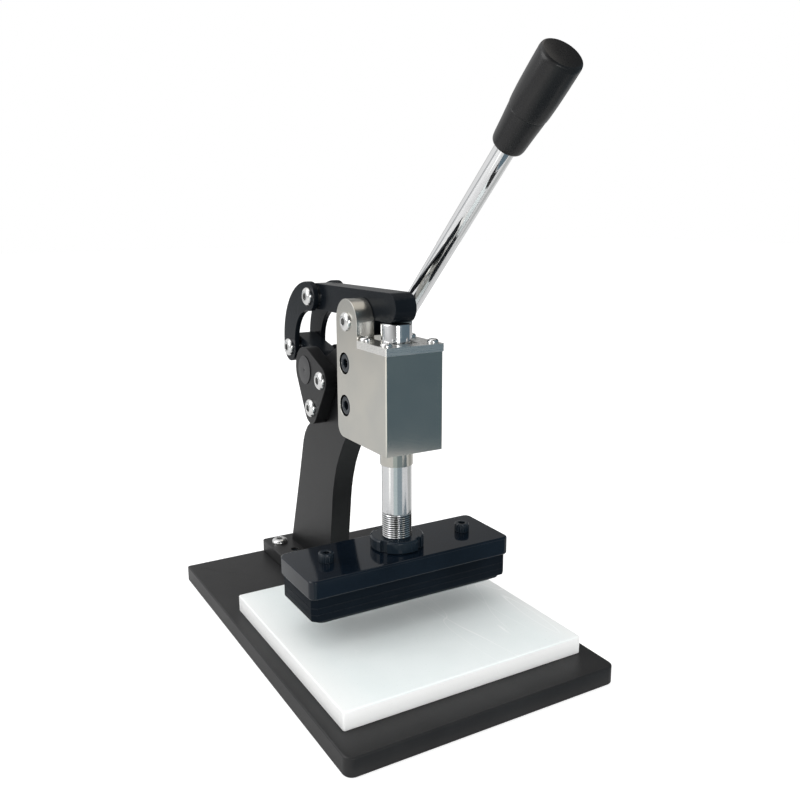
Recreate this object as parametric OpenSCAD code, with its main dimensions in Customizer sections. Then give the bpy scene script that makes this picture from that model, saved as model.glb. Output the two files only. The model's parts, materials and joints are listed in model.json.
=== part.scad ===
// Manual die cutting machine: a hand lever turns a crank, the crank lifts a pair of curved links, the links
// rock a lever bar and the nose of the bar pushes a round ram down on a cutting die.
// X runs across the machine, Y from front to back and Z up. The origin is under the middle of the base plate.

/* [Base plate] */
// Width of the base plate
base_w = 190; // [186:1:230]
// Depth of the base plate
base_d = 290; // [288:1:330]
// Thickness of the base plate
base_t = 12.5; // [12:0.5:20]
// Radius of the upright corners of the base plate
base_corner_r = 6; // [3:0.5:12]
// Chamfer on the edges of the base plate
base_chamfer = 0.8; // [0.4:0.1:1.5]

/* [Cutting board] */
// Width of the cutting board
board_w = 171; // [140:1:180]
// Depth of the cutting board
board_d = 170; // [120:1:172]
// Thickness of the cutting board
board_t = 12; // [8:0.5:16]
// Distance of the board's middle in front of the ram's axis
board_forward = 4.5; // [3:0.5:10]

/* [Column] */
// Thickness of the column plate, which also sets the slot between the cheeks
column_t = 16; // [14:0.5:18]
// Depth of the column where it stands on its foot
column_d = 73; // [66:1:76]
// Width of the foot plate
foot_w = 60; // [56:1:80]
// Depth of the foot plate
foot_d = 97; // [93:1:98]
// Thickness of the foot plate
foot_t = 10; // [8:0.5:14]

/* [Guide block] */
// Width of the guide block
block_w = 41.5; // [38:0.5:46]
// Depth of the guide block from front to back
block_d = 68; // [67:0.5:70]
// Height of the guide block up to the cap
block_h = 64; // [60:0.5:70]
// Height of the block's underside above the foot plate
block_lift = 121; // [112:1:126]
// Distance of the ram's axis behind the block's front face
ram_setback = 23.5; // [22:0.5:24.5]
// Radius of the ears that carry the lever bar
ear_r = 15; // [14:0.5:16]
// Height of the lever bar's pivot above the block's top
pivot_rise = 15.5; // [15:0.5:18]
// Thickness of the cap plate
cap_t = 5; // [4:0.5:6]

/* [Ram and die] */
// Diameter of the ram
ram_d = 20; // [18:0.5:21]
// Diameter of the slotted lock nut
nut_d = 36; // [32:0.5:42]
// Thickness of the lock nut
nut_t = 8.5; // [7:0.5:11]
// Length of the press plate
plate_w = 150; // [142:1:170]
// Depth of the press plate
plate_d = 52; // [50:1:60]
// Thickness of the press plate
plate_t = 13; // [10:0.5:16]
// Thickness of the die board
die_t = 15; // [12:0.5:20]
// Thickness of the ejector pad under the die board
pad_t = 2; // [1.5:0.25:3]
// Thickness of the cutting rule
rule_t = 2; // [1:0.25:2.5]
// How far the cutting rule stands below the pad
rule_show = 2.4; // [1.5:0.1:4]
// Gap between the cutting rule and the board when the handle is up
work_gap = 16.6; // [16.5:0.1:24]

/* [Lever bar and links] */
// Height of the lever bar
bar_h = 19; // [17:0.5:20]
// Distance from the bar's pivot back to its link pin
bar_reach = 78; // [74:0.5:82]
// Distance of the bar's nose centre in front of the ram's axis
nose_forward = 3.5; // [2:0.5:5]
// Thickness of each link
link_t = 4; // [3:0.5:5]
// Width of the curved strap of a link
link_w = 21.6; // [19:0.2:22.4]
// How far the middle of the strap bows back from the straight line between its pins
link_bow = 13; // [11:0.5:15]
// Diameter of the pins through the ears, bar and crank
pin_d = 10; // [9:0.5:10.5]

/* [Crank and handle] */
// Distance of the main shaft behind the block's rear face
shaft_back = 61; // [59:0.5:63]
// Height of the main shaft above the block's underside
shaft_rise = 35; // [33:0.5:37]
// Diameter of the main shaft
shaft_d = 18; // [16:0.5:19]
// Distance from the main shaft to the crank pin
crank_r = 41; // [39:0.5:42]
// Angle of the crank above the horizontal when the handle is up
crank_rest = 16.4; // [14:0.2:19]
// Thickness of each bracket plate
bracket_t = 10; // [8:0.5:12]
// Diameter of the handle rod
rod_d = 13; // [11:0.5:14]
// Lean of the handle towards the front
handle_lean = 46.9; // [40:0.1:50]
// Distance from the main shaft to the free end of the grip
handle_len = 286; // [270:1:300]
// Length of the grip
grip_len = 64; // [60:1:80]
// Largest diameter of the grip
grip_d = 26; // [24:0.5:30]
// Distance of the handle rod to the right of the machine's middle
rod_x = 42; // [40:0.5:46]

/* [Hidden] */
$fn = 72;
eps = 0.01;
// Clearances: faces that slide, pins that turn, screws in holes, and the gap under the bar's nose
side_gap = 0.3;
run_gap = 0.05;
fit_gap = 0.02;
hole_gap = 0.3;
nose_gap = 0.45;
stop_gap = 0.3;
washer_t = 1;
// Play that the crank pin needs along its slot on each side and across it, and the slot's slope
slot_play = 1.85;
slot_gap = 0.55;
slot_lean = 42;

// Heights, from the floor up
foot_top = base_t + foot_t;
block_z = foot_top + block_lift;
block_top = block_z + block_h;
cap_top = block_top + cap_t;
board_top = base_t + board_t;
rule_z = board_top + work_gap;
pad_z = rule_z + rule_show;
die_z = pad_z + pad_t;
plate_z = die_z + die_t;
plate_top = plate_z + plate_t;

// Places from front to back: the foot ends flush with the base, the ram stands in front of it by a fixed distance,
// and the board lies under the ram unless the foot pushes it further forward
ram_out = 177.5;
base_rear = base_d / 2;
foot_rear = base_rear;
foot_front = foot_rear - foot_d;
ram_y = foot_rear - ram_out;
board_y = min(ram_y - board_forward, foot_front - board_d / 2);
block_front = ram_y - ram_setback;
block_rear = block_front + block_d;
column_rear = foot_rear - 12;
column_front = column_rear - column_d;

// Pivots, as places in the (Y, Z) plane
pivot = [block_rear - ear_r, block_top + pivot_rise];
nose_lift = 1.7;
bar_mid = pivot[1] + bar_h / 2;
nose = [ram_y - nose_forward, bar_mid + nose_lift];
bar_pin = [pivot[0] + bar_reach, bar_mid];
shaft = [block_rear + shaft_back, block_z + shaft_rise];
crank_pin_at = shaft + crank_r * [cos(crank_rest), sin(crank_rest)];

// Ram, bushes and spring
ram_r = ram_d / 2;
ram_seat = plate_z + 3;
ram_top = nose[1] - bar_h / 2 - nose_gap;
bush_r = ram_r + 3;
bush_len = 22;
// Thin neck of the bush that stands out below the block
neck_len = 12.5;
neck_wall = 0.85;
chamber_r = ram_r + 6;
chamber_z = block_z + bush_len;
collar_r = chamber_r - 0.8;
collar_t = 6;
collar_z = block_top - stop_gap - collar_t;
tongue_w = 6;
tongue_out = 3;
spring_wire = 2.2;
spring_r = ram_r + 2.8;
spring_turns = 7;

// Widths across the machine
column_x = column_t / 2;
bar_x = column_x - side_gap;
link_x = column_x + washer_t;
bracket_x = column_x + bracket_t;
slot_front = ram_y + chamber_r + 4.5;

// Brackets: lobes about the shaft and behind the two screws
lobe_r = shaft_d / 2 + 8;
bracket_lobe_r = 10.5;
bracket_lobe_at = [shaft + [-25.5, -3.5], shaft + [-8.2, -29]];
bracket_screw_at = [shaft + [-27.5, -3.5], shaft + [-10, -27]];
crank_hub_r = shaft_d / 2 + 5;
crank_eye_r = pin_d / 2 + 5.5;
slot_r = pin_d / 2 + slot_gap;

// How far the cap plate stands out beyond the block on each side
cap_brim = 0.4;

// Fasteners: how far the cap screws and column bolts bite, then shank, head diameter and head height of each kind
cap_grip = 7;
bolt_grip = 15;
bolt_seat = 4;
button_6 = [6, 13, 4];
button_8 = [6, 13.5, 3.6];
pan_4 = [4, 7.4, 2.6];
socket_6 = [6, 10, 6];
socket_8 = [8, 13, 8];
block_screw_at = [for (f = [0.35, 0.8]) [block_rear - 11, block_z + f * block_h]];
cap_rear = pivot[0] - ear_r - 0.5;
cap_screw_at = [for (x = [-1, 1], y = [block_front + 6, cap_rear - 3.8]) [x * (block_w / 2 - 4), y]];
foot_screw_at = [for (x = [-1, 1], y = [foot_front + 12, foot_rear - 14]) [x * (foot_w / 2 - 10), y]];
foot_dowel_at = [for (x = [-1, 1]) [x * (column_x + 7), foot_rear - 34]];
column_bolt_at = [for (f = [0.2, 0.5, 0.8]) [0, column_front + f * column_d]];
clamp_inset = 22.5;
clamp_at = [for (x = [-1, 1]) [x * (plate_w / 2 - clamp_inset), ram_y]];

// Die: half sizes of the board, the pad and the ring of cutting rule
die_w = plate_w - 3;
die_d = plate_d - 3;
pad_w = die_w - 6;
pad_d = die_d - 3;
rule_w = pad_w - 6;
rule_d = pad_d - 5;
rule_corner_r = 8;
rule_grip = 8;

// Handle hub
hub_wall = 7.5;
collar_wall = 4;
socket_wall = 5;
socket_reach = 9;
hub_len = 28;
hub_r = shaft_d / 2 + hub_wall;
hub_x = rod_x - hub_len / 2;
collar_x = bracket_x + side_gap;
socket_r = rod_d / 2 + socket_wall;
socket_out = hub_r + socket_reach;
rod_seat = shaft_d / 2 + 1.5;
grip_at = handle_len - grip_len;
head_t = 1;
head_r = shaft_d / 2 + 1.5;
shaft_left = -bracket_x - side_gap - head_t;
shaft_right = hub_x + hub_len;
key_size = 5;
key_len = 12;

// A plate in the (Y, Z) plane, drawn in 2D and thickened along X from x0
module plate_x(x0, t) {
    translate([x0, 0, 0]) rotate([90, 0, 90]) linear_extrude(height = t) children();
}

// A round bar along X through a place in the (Y, Z) plane
module rod_x_at(place, x0, x1, r) {
    translate([x0, place[0], place[1]]) rotate([0, 90, 0]) cylinder(h = x1 - x0, r = r);
}

// Puts a shape that points along +Z so that it points outwards at the left (-1) or right (+1)
module outward_x(side, x, place) {
    translate([side * x, place[0], place[1]]) rotate([0, side * 90, 0]) children();
}

// A flat plate with chamfered edges and round upright corners, standing on z = 0
module soft_plate(w, d, t, r, c) {
    function edge(half) = [[c - half, 0], [half - c, 0], [half, c], [half, t - c], [half - c, t],
        [c - half, t], [-half, t - c], [-half, c]];
    translate([r - w / 2, 0, 0]) rotate([90, 0, 90]) linear_extrude(height = w - 2 * r) polygon(edge(d / 2));
    translate([0, d / 2 - r, 0]) rotate([90, 0, 0]) linear_extrude(height = d - 2 * r) polygon(edge(w / 2));
    for (x = [-1, 1], y = [-1, 1])
        translate([x * (w / 2 - r), y * (d / 2 - r), 0])
            rotate_extrude() polygon([[0, 0], [r - c, 0], [r, c], [r, t - c], [r - c, t], [0, t]]);
}

// A rectangle with round corners
module round_rect(w, d, r) {
    square([w - 2 * r, d], center = true);
    square([w, d - 2 * r], center = true);
    for (x = [-1, 1], y = [-1, 1]) translate([x * (w / 2 - r), y * (d / 2 - r)]) circle(r);
}

// Circles in the (Y, Z) plane wrapped by a band, each given as [place, radius]
module lobes(rounds) {
    hull() for (c = rounds) translate(c[0]) circle(c[1], $fn = 96);
}

// A screw along -Z with a domed head above z = 0 and a hexagon socket
module button_screw(size, reach) {
    r = size[1] / 2;
    h = size[2];
    ball = (r * r + h * h) / (2 * h) + 0.6;
    difference() {
        union() {
            intersection() {
                cylinder(h = h, r = r);
                translate([0, 0, h - ball]) sphere(ball);
            }
            translate([0, 0, -reach]) cylinder(h = reach + eps, d = size[0]);
        }
        translate([0, 0, h - 2]) cylinder(h = 3, r = r * 0.36, $fn = 6);
    }
}

// A screw along -Z with a cylindrical head above z = 0 and a hexagon socket
module socket_screw(size, reach) {
    difference() {
        union() {
            cylinder(h = size[2], d = size[1]);
            translate([0, 0, -reach]) cylinder(h = reach + eps, d = size[0]);
        }
        translate([0, 0, size[2] * 0.45]) cylinder(h = size[2], r = size[1] * 0.28, $fn = 6);
    }
}

// Puts a shape drawn along +Z on the shaft so that +Z follows the handle
module along_handle() {
    translate([rod_x, shaft[0], shaft[1]]) rotate([handle_lean, 0, 0]) children();
}

module base_plate() {
    color([0.1, 0.1, 0.11])
    difference() {
        union() {
            soft_plate(base_w, base_d, base_t, base_corner_r, base_chamfer);
            // the two corners behind the column are left square
            translate([0, base_rear - 20, 0]) soft_plate(base_w, 40, base_t, base_chamfer + 0.4, base_chamfer);
        }
        for (p = foot_screw_at)
            translate([p[0], p[1], base_t - 9]) cylinder(h = 10, d = button_6[0] + hole_gap);
        for (p = foot_dowel_at)
            translate([p[0], p[1], base_t - 8]) cylinder(h = 9, d = 6 + 2 * fit_gap);
        for (p = column_bolt_at) {
            translate([p[0], p[1], -1]) cylinder(h = base_t + 2, d = socket_8[0] + 1);
            translate([p[0], p[1], -1]) cylinder(h = base_t + 1 - bolt_seat, d = socket_8[1] + 1);
        }
    }
}

module column_foot() {
    color([0.1, 0.1, 0.11])
    difference() {
        translate([0, (foot_front + foot_rear) / 2, base_t]) soft_plate(foot_w, foot_d, foot_t, 2, 0.6);
        for (p = foot_screw_at)
            translate([p[0], p[1], base_t - 1]) cylinder(h = foot_t + 2, d = button_6[0] + hole_gap);
        for (p = foot_dowel_at)
            translate([p[0], p[1], base_t - 1]) cylinder(h = foot_t + 2, d = 6 + 2 * fit_gap);
        for (p = column_bolt_at)
            translate([p[0], p[1], base_t - 1]) cylinder(h = foot_t + 2, d = socket_8[0] + 1);
    }
}

module foot_screws() {
    color([0.75, 0.75, 0.77])
    for (p = foot_screw_at) translate([p[0], p[1], foot_top]) button_screw(button_6, foot_t + 6);
}

module foot_dowels() {
    color([0.06, 0.06, 0.07])
    for (p = foot_dowel_at) translate([p[0], p[1], base_t - 8]) cylinder(h = foot_t + 6.5, d = 6);
}

// Height in the open stretch of the column, as a share of the way from the foot to the block
function rise(share) = foot_top + share * block_lift;

// Side view of the column: it leans forward from the foot and ends as a tongue between the cheeks
module column_side() {
    polygon([
        [column_front, foot_top], [column_front - 9, rise(0.5)], [column_front - 10.6, rise(0.566)],
        [column_front - 13.1, rise(0.637)], [column_front - 17.5, rise(0.73)], [block_rear + 25.5, rise(0.806)],
        [block_rear + 19, rise(0.89)], [block_rear + 12, rise(0.959)], [block_rear + 4, block_z + 2.5],
        [slot_front + 0.5, block_z + 2.5], [slot_front + 0.5, block_top - 4], [block_rear + 28, block_top - 9],
        [shaft[0] - 15, shaft[1] + 11], [shaft[0], shaft[1] - 8], [shaft[0] + 6, shaft[1] - 24],
        [shaft[0] + 9, block_z - 1.5], [shaft[0] + 14, rise(0.926)], [column_rear - 39, rise(0.884)],
        [column_rear - 34, rise(0.835)], [column_rear - 30.4, rise(0.777)], [column_rear - 26, rise(0.66)],
        [column_rear - 20, rise(0.5)], [column_rear, foot_top]]);
}

module column() {
    color([0.11, 0.11, 0.12])
    difference() {
        plate_x(-column_x, column_t) column_side();
        rod_x_at(shaft, -column_t, column_t, crank_hub_r + 2);
        for (p = bracket_screw_at) rod_x_at(p, -column_t, column_t, (button_6[0] + hole_gap) / 2);
        for (p = block_screw_at) rod_x_at(p, -column_t, column_t, (socket_8[0] + 1) / 2);
        for (p = column_bolt_at)
            translate([p[0], p[1], foot_top - 1]) cylinder(h = bolt_grip + 2, d = socket_8[0] + 2 * fit_gap);
    }
}

module column_bolts() {
    color([0.06, 0.06, 0.07])
    for (p = column_bolt_at)
        translate([p[0], p[1], base_t - bolt_seat]) rotate([180, 0, 0]) socket_screw(socket_8, foot_t + bolt_seat + bolt_grip);
}

// Plan of the block or its cap, of half width half: front corners chamfered
module block_plan(half, front, rear) {
    c = 0.7;
    polygon([[c - half, front], [half - c, front], [half, front + c], [half, rear], [-half, rear],
        [-half, front + c]]);
}

module guide_block() {
    color([0.72, 0.71, 0.68])
    difference() {
        union() {
            translate([0, 0, block_z]) linear_extrude(height = block_h) block_plan(block_w / 2, block_front, block_rear);
            for (x = [-block_w / 2, column_x])
                plate_x(x, block_w / 2 - column_x) {
                    translate(pivot) circle(ear_r);
                    translate([pivot[0] - ear_r, block_top - 5]) square([2 * ear_r, pivot_rise + 5]);
                }
        }
        // slot that takes the column below and the lever bar above
        translate([-column_x, slot_front, block_z - 1]) cube([column_t, block_d, block_h + 60]);
        // ram bore, bush seat and spring chamber
        translate([0, ram_y, block_z - 1]) cylinder(h = block_h, r = bush_r + fit_gap);
        translate([0, ram_y, chamber_z]) cylinder(h = block_h, r = chamber_r);
        translate([-tongue_w / 2 - 0.3, ram_y - chamber_r - tongue_out, chamber_z])
            cube([tongue_w + 0.6, chamber_r, block_h]);
        rod_x_at(pivot, -block_w, block_w, pin_d / 2 + fit_gap);
        for (p = block_screw_at) {
            rod_x_at(p, -block_w, block_w, (socket_8[0] + hole_gap) / 2);
            rod_x_at(p, -block_w, -block_w / 2 + 8.6, (socket_8[1] + 1.6) / 2);
        }
        for (p = cap_screw_at)
            translate([p[0], p[1], block_top - cap_grip - 1]) cylinder(h = cap_grip + 2, d = pan_4[0] + hole_gap);
        // rounded lower rear edge
        difference() {
            translate([-block_w, block_rear - 8, block_z - 1]) cube([2 * block_w, 10, 9]);
            rod_x_at([block_rear - 8, block_z + 8], -2 * block_w, 2 * block_w, 8);
        }
    }
}

module block_screws() {
    color([0.06, 0.06, 0.07])
    for (p = block_screw_at)
        outward_x(-1, block_w / 2 - 8.6, p) socket_screw(socket_8, block_w - 8.6 - 2);
}

module cap_plate() {
    color([0.7, 0.69, 0.66])
    difference() {
        translate([0, 0, block_top]) linear_extrude(height = cap_t)
            block_plan(block_w / 2 + cap_brim, block_front - 2 * cap_brim, cap_rear);
        translate([0, ram_y, block_top - 1]) cylinder(h = cap_t + 2, r = ram_r + run_gap);
        // slot that lets the bar's nose follow the ram down
        translate([-bar_x - 0.6, nose[0] - bar_h / 2 - 1.5, block_top - 1]) cube([2 * bar_x + 1.2, block_d, cap_t + 2]);
        for (p = cap_screw_at)
            translate([p[0], p[1], block_top - 1]) cylinder(h = cap_t + 2, d = pan_4[0] + hole_gap);
    }
}

module cap_screws() {
    color([0.75, 0.75, 0.77])
    for (p = cap_screw_at) translate([p[0], p[1], cap_top]) button_screw(pan_4, cap_t + cap_grip);
}

module lower_bush() {
    color([0.66, 0.65, 0.62])
    translate([0, ram_y, block_z])
    difference() {
        union() {
            cylinder(h = bush_len, r = bush_r);
            translate([0, 0, -neck_len]) cylinder(h = neck_len + 1, r = ram_r + neck_wall);
        }
        translate([0, 0, -neck_len - 1]) cylinder(h = neck_len + bush_len + 2, r = ram_r + run_gap);
    }
}

module pivot_pin() {
    color([0.7, 0.7, 0.72])
    rod_x_at(pivot, -block_w / 2, block_w / 2, pin_d / 2);
}

module pivot_screws() {
    color([0.75, 0.75, 0.77])
    for (side = [-1, 1])
        outward_x(side, block_w / 2, pivot) button_screw(button_8, 0);
}

// A bracket plate seen from the side: lobes about the shaft and its two screws
module bracket_side() {
    lobes([[shaft, lobe_r], [bracket_lobe_at[0], bracket_lobe_r], [bracket_lobe_at[1], bracket_lobe_r]]);
}

module bracket(x0) {
    difference() {
        plate_x(x0, bracket_t) bracket_side();
        rod_x_at(shaft, x0 - 1, x0 + bracket_t + 1, shaft_d / 2 + run_gap);
        for (p = bracket_screw_at) rod_x_at(p, x0 - 1, x0 + bracket_t + 1, (button_6[0] + hole_gap) / 2);
    }
}

module left_bracket() { color([0.08, 0.08, 0.09]) bracket(-bracket_x); }

module right_bracket() { color([0.08, 0.08, 0.09]) bracket(column_x); }

module bracket_screws() {
    color([0.75, 0.75, 0.77])
    for (side = [-1, 1], p = bracket_screw_at)
        outward_x(side, bracket_x, p) button_screw(button_8, bracket_t + column_x - 0.5);
}

module main_shaft() {
    color([0.25, 0.25, 0.27])
    difference() {
        union() {
            rod_x_at(shaft, shaft_left, shaft_right, shaft_d / 2);
            rod_x_at(shaft, shaft_left, shaft_left + head_t, head_r);
        }
        translate([-key_len / 2, shaft[0] - key_size / 2, shaft[1] - shaft_d / 2 - 1])
            cube([key_len, key_size, 4]);
        along_handle() translate([0, 0, -shaft_d / 2 - 1]) cylinder(h = 2.5, d = 6 + hole_gap);
    }
}

module crank() {
    color([0.09, 0.09, 0.1])
    difference() {
        plate_x(-bar_x, 2 * bar_x) lobes([[shaft, crank_hub_r], [crank_pin_at, crank_eye_r]]);
        rod_x_at(shaft, -column_t, column_t, shaft_d / 2 + fit_gap);
        // the crank pin runs in a short sloping slot
        for (s = [-1, 1])
            rod_x_at(crank_pin_at + s * slot_play * [cos(slot_lean), sin(slot_lean)], -column_t, column_t, slot_r);
        translate([0, crank_pin_at[0], crank_pin_at[1]]) rotate([slot_lean, 0, 0])
            cube([2 * column_t, 2 * slot_play, 2 * slot_r], center = true);
        translate([-key_len / 2, shaft[0] - key_size / 2, shaft[1] - shaft_d / 2 - 2])
            cube([key_len, key_size, 6]);
    }
}

module crank_key() {
    color([0.5, 0.5, 0.52])
    translate([-key_len / 2, shaft[0] - key_size / 2, shaft[1] - shaft_d / 2 - 2])
        cube([key_len, key_size, 5]);
}

module handle_hub() {
    color([0.1, 0.1, 0.11])
    difference() {
        union() {
            rod_x_at(shaft, hub_x, hub_x + hub_len, hub_r);
            rod_x_at(shaft, collar_x, hub_x + 1, shaft_d / 2 + collar_wall);
            along_handle() cylinder(h = socket_out, r = socket_r);
        }
        rod_x_at(shaft, 0, 2 * rod_x, shaft_d / 2 + fit_gap);
        along_handle() translate([0, 0, rod_seat]) cylinder(h = socket_out, r = rod_d / 2 + fit_gap);
        along_handle() translate([0, 0, -hub_r - 1]) cylinder(h = hub_r, d = 6 + 2 * fit_gap);
    }
}

module hub_set_screw() {
    color([0.06, 0.06, 0.07])
    along_handle()
    difference() {
        translate([0, 0, 0.5 - hub_r]) cylinder(h = hub_r - shaft_d / 2 + 1, d = 6);
        translate([0, 0, -hub_r]) cylinder(h = 3, r = 1.7, $fn = 6);
    }
}

module handle_rod() {
    color([0.8, 0.8, 0.82])
    along_handle() translate([0, 0, rod_seat]) cylinder(h = grip_at + 40 - rod_seat, d = rod_d);
}

// The grip is turned: a rounded foot, a waist, a swell above the moulded ring and a softly domed end
module grip() {
    r = grip_d / 2;
    color([0.07, 0.07, 0.08])
    along_handle() translate([0, 0, grip_at])
    difference() {
        rotate_extrude() {
            polygon([[0, 0], [r * 0.62, 0], [r * 0.73, 0.5], [r * 0.785, 1.8], [r * 0.81, 4.5], [r * 0.855, 0.22 * grip_len],
                [r * 0.88, 0.275 * grip_len], [r * 0.93, 0.33 * grip_len], [r * 0.96, 0.41 * grip_len],
                [r * 0.985, 0.55 * grip_len], [r, 0.72 * grip_len], [r, grip_len - 3.6], [r * 0.97, grip_len - 2],
                [r * 0.88, grip_len - 0.9], [r * 0.6, grip_len - 0.3], [0, grip_len]]);
        }
        translate([0, 0, -1]) cylinder(h = 41, r = rod_d / 2 + fit_gap);
    }
}

module lever_bar() {
    color([0.09, 0.09, 0.1])
    difference() {
        union() {
            plate_x(-bar_x, 2 * bar_x) lobes([[nose, bar_h / 2], [bar_pin, bar_h / 2]]);
            rod_x_at(pivot, -bar_x, bar_x, pin_d / 2 + 5.5);
        }
        rod_x_at(pivot, -column_t, column_t, pin_d / 2 + 2 + fit_gap);
        rod_x_at(bar_pin, -column_t, column_t, pin_d / 2 + run_gap);
    }
}

module bar_bush() {
    color([0.7, 0.52, 0.25])
    difference() {
        rod_x_at(pivot, -bar_x, bar_x, pin_d / 2 + 2);
        rod_x_at(pivot, -column_t, column_t, pin_d / 2 + run_gap);
    }
}

// A link seen from the side: a strap of even width that bows back between its two pins
module link_side() {
    chord = crank_pin_at - bar_pin;
    half = norm(chord) / 2;
    back = [-chord[1], chord[0]] / norm(chord);
    bow_r = (half * half + link_bow * link_bow) / (2 * link_bow);
    centre = (bar_pin + crank_pin_at) / 2 + (link_bow - bow_r) * back;
    far = 2.2 * bow_r;
    difference() {
        translate(centre) circle(bow_r + link_w / 2, $fn = 120);
        translate(centre) circle(bow_r - link_w / 2);
        // only the wedge between the two pins is kept
        polygon([centre, centre + far * (bar_pin - centre) / bow_r, centre + far * (bar_pin - centre) / bow_r - far * back,
            centre - far * back, centre + far * (crank_pin_at - centre) / bow_r - far * back,
            centre + far * (crank_pin_at - centre) / bow_r]);
    }
    for (p = [bar_pin, crank_pin_at]) translate(p) circle(link_w / 2);
}

module link(x0) {
    difference() {
        plate_x(x0, link_t) link_side();
        for (p = [bar_pin, crank_pin_at]) rod_x_at(p, x0 - 1, x0 + link_t + 1, pin_d / 2 + fit_gap);
    }
}

module left_link() { color([0.07, 0.07, 0.08]) link(-link_x - link_t); }

module right_link() { color([0.07, 0.07, 0.08]) link(link_x); }

module upper_link_pin() {
    color([0.7, 0.7, 0.72])
    rod_x_at(bar_pin, -link_x - link_t, link_x + link_t, pin_d / 2);
}

module crank_pin() {
    color([0.7, 0.7, 0.72])
    rod_x_at(crank_pin_at, -link_x - link_t, link_x + link_t, pin_d / 2);
}

module link_screws() {
    color([0.75, 0.75, 0.77])
    for (side = [-1, 1], p = [bar_pin, crank_pin_at])
        outward_x(side, link_x + link_t, p) button_screw(button_8, 0);
}

module link_washers() {
    color([0.6, 0.6, 0.62])
    for (x = [-link_x, column_x], p = [bar_pin, crank_pin_at])
        difference() {
            rod_x_at(p, x, x + washer_t, pin_d / 2 + 4);
            rod_x_at(p, x - 1, x + washer_t + 1, pin_d / 2 + fit_gap);
        }
}

module ram() {
    color([0.78, 0.78, 0.8])
    translate([0, ram_y, ram_seat]) cylinder(h = ram_top - ram_seat, r = ram_r);
}

module spring_collar() {
    color([0.3, 0.3, 0.32])
    translate([0, ram_y, collar_z])
    difference() {
        union() {
            cylinder(h = collar_t, r = collar_r);
            translate([-tongue_w / 2, -chamber_r - tongue_out + 0.5, 0]) cube([tongue_w, chamber_r, collar_t]);
        }
        translate([0, 0, -1]) cylinder(h = collar_t + 2, r = ram_r);
    }
}

// A round wire wound into a helix, with a few turns closed up at each end
module return_spring() {
    per_turn = 20;
    sides = 8;
    steps = spring_turns * per_turn;
    low = chamber_z + spring_wire / 2;
    high = collar_z - spring_wire / 2;
    function height(i) = low + (high - low) * min(max((i / per_turn - 0.75) / (spring_turns - 1.5), 0), 1);
    points = [for (i = [0:steps], j = [0:sides - 1])
        let (turn = 360 * i / per_turn, around = 360 * j / sides, r = spring_r + spring_wire / 2 * cos(around))
        [r * cos(turn), ram_y + r * sin(turn), height(i) + spring_wire / 2 * sin(around)]];
    skin = [for (i = [0:steps - 1], j = [0:sides - 1])
        [i * sides + j, i * sides + (j + 1) % sides, (i + 1) * sides + (j + 1) % sides, (i + 1) * sides + j]];
    start = [[for (j = [0:sides - 1]) sides - 1 - j]];
    end = [[for (j = [0:sides - 1]) steps * sides + j]];
    color([0.55, 0.55, 0.57]) polyhedron(points, concat(start, skin, end), convexity = 10);
}

module lock_nut() {
    color([0.1, 0.1, 0.11])
    translate([0, ram_y, plate_top])
    difference() {
        rotate_extrude() polygon([[ram_r + run_gap, 0], [nut_d / 2 - 1, 0], [nut_d / 2, 1], [nut_d / 2, nut_t - 1],
            [nut_d / 2 - 1, nut_t], [ram_r + run_gap, nut_t]]);
        for (a = [0:90:270])
            rotate(a + 30) translate([nut_d / 2 - 2.5, -2.5, -1]) cube([5, 5, nut_t + 2]);
    }
}

module press_plate() {
    color([0.08, 0.08, 0.09])
    difference() {
        translate([0, ram_y, plate_z]) soft_plate(plate_w, plate_d, plate_t, 5, 0.9);
        translate([0, ram_y, ram_seat]) cylinder(h = plate_t, r = ram_r + run_gap);
        for (p = clamp_at) translate([p[0], p[1], plate_z - 1]) cylinder(h = plate_t + 2, d = socket_6[0] + hole_gap);
    }
}

module clamp_screws() {
    color([0.12, 0.12, 0.13])
    for (p = clamp_at) translate([p[0], p[1], plate_top]) socket_screw(socket_6, plate_t + die_t - 5);
}

// The ring of cutting rule in plan, grown by a margin
module rule_plan(grow) {
    difference() {
        round_rect(rule_w + 2 * grow, rule_d + 2 * grow, rule_corner_r + grow);
        round_rect(rule_w - 2 * rule_t - 2 * grow, rule_d - 2 * rule_t - 2 * grow, rule_corner_r - rule_t - grow);
    }
}

module die_board() {
    c = 3;
    w = die_w / 2;
    d = die_d / 2;
    color([0.07, 0.07, 0.08])
    difference() {
        translate([0, ram_y, die_z]) linear_extrude(height = die_t)
            polygon([[c - w, -d], [w - c, -d], [w, c - d], [w, d - c], [w - c, d], [c - w, d], [-w, d - c], [-w, c - d]]);
        translate([0, ram_y, die_z - 1]) linear_extrude(height = rule_grip + 1) rule_plan(fit_gap);
        for (p = clamp_at) translate([p[0], p[1], die_z + 4]) cylinder(h = die_t, d = socket_6[0] + 2 * fit_gap);
    }
}

module ejector_pad() {
    color([0.06, 0.06, 0.06])
    translate([0, ram_y, pad_z]) linear_extrude(height = pad_t)
    difference() {
        round_rect(pad_w, pad_d, 6);
        rule_plan(0.1);
    }
}

module cutting_rule() {
    color([0.75, 0.76, 0.78])
    translate([0, ram_y, rule_z])
        linear_extrude(height = rule_show + pad_t + rule_grip) rule_plan(0);
}

module cutting_board() {
    color([0.92, 0.94, 0.94])
    translate([0, board_y, base_t]) soft_plate(board_w, board_d, board_t, 1.5, 0.5);
}

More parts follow.
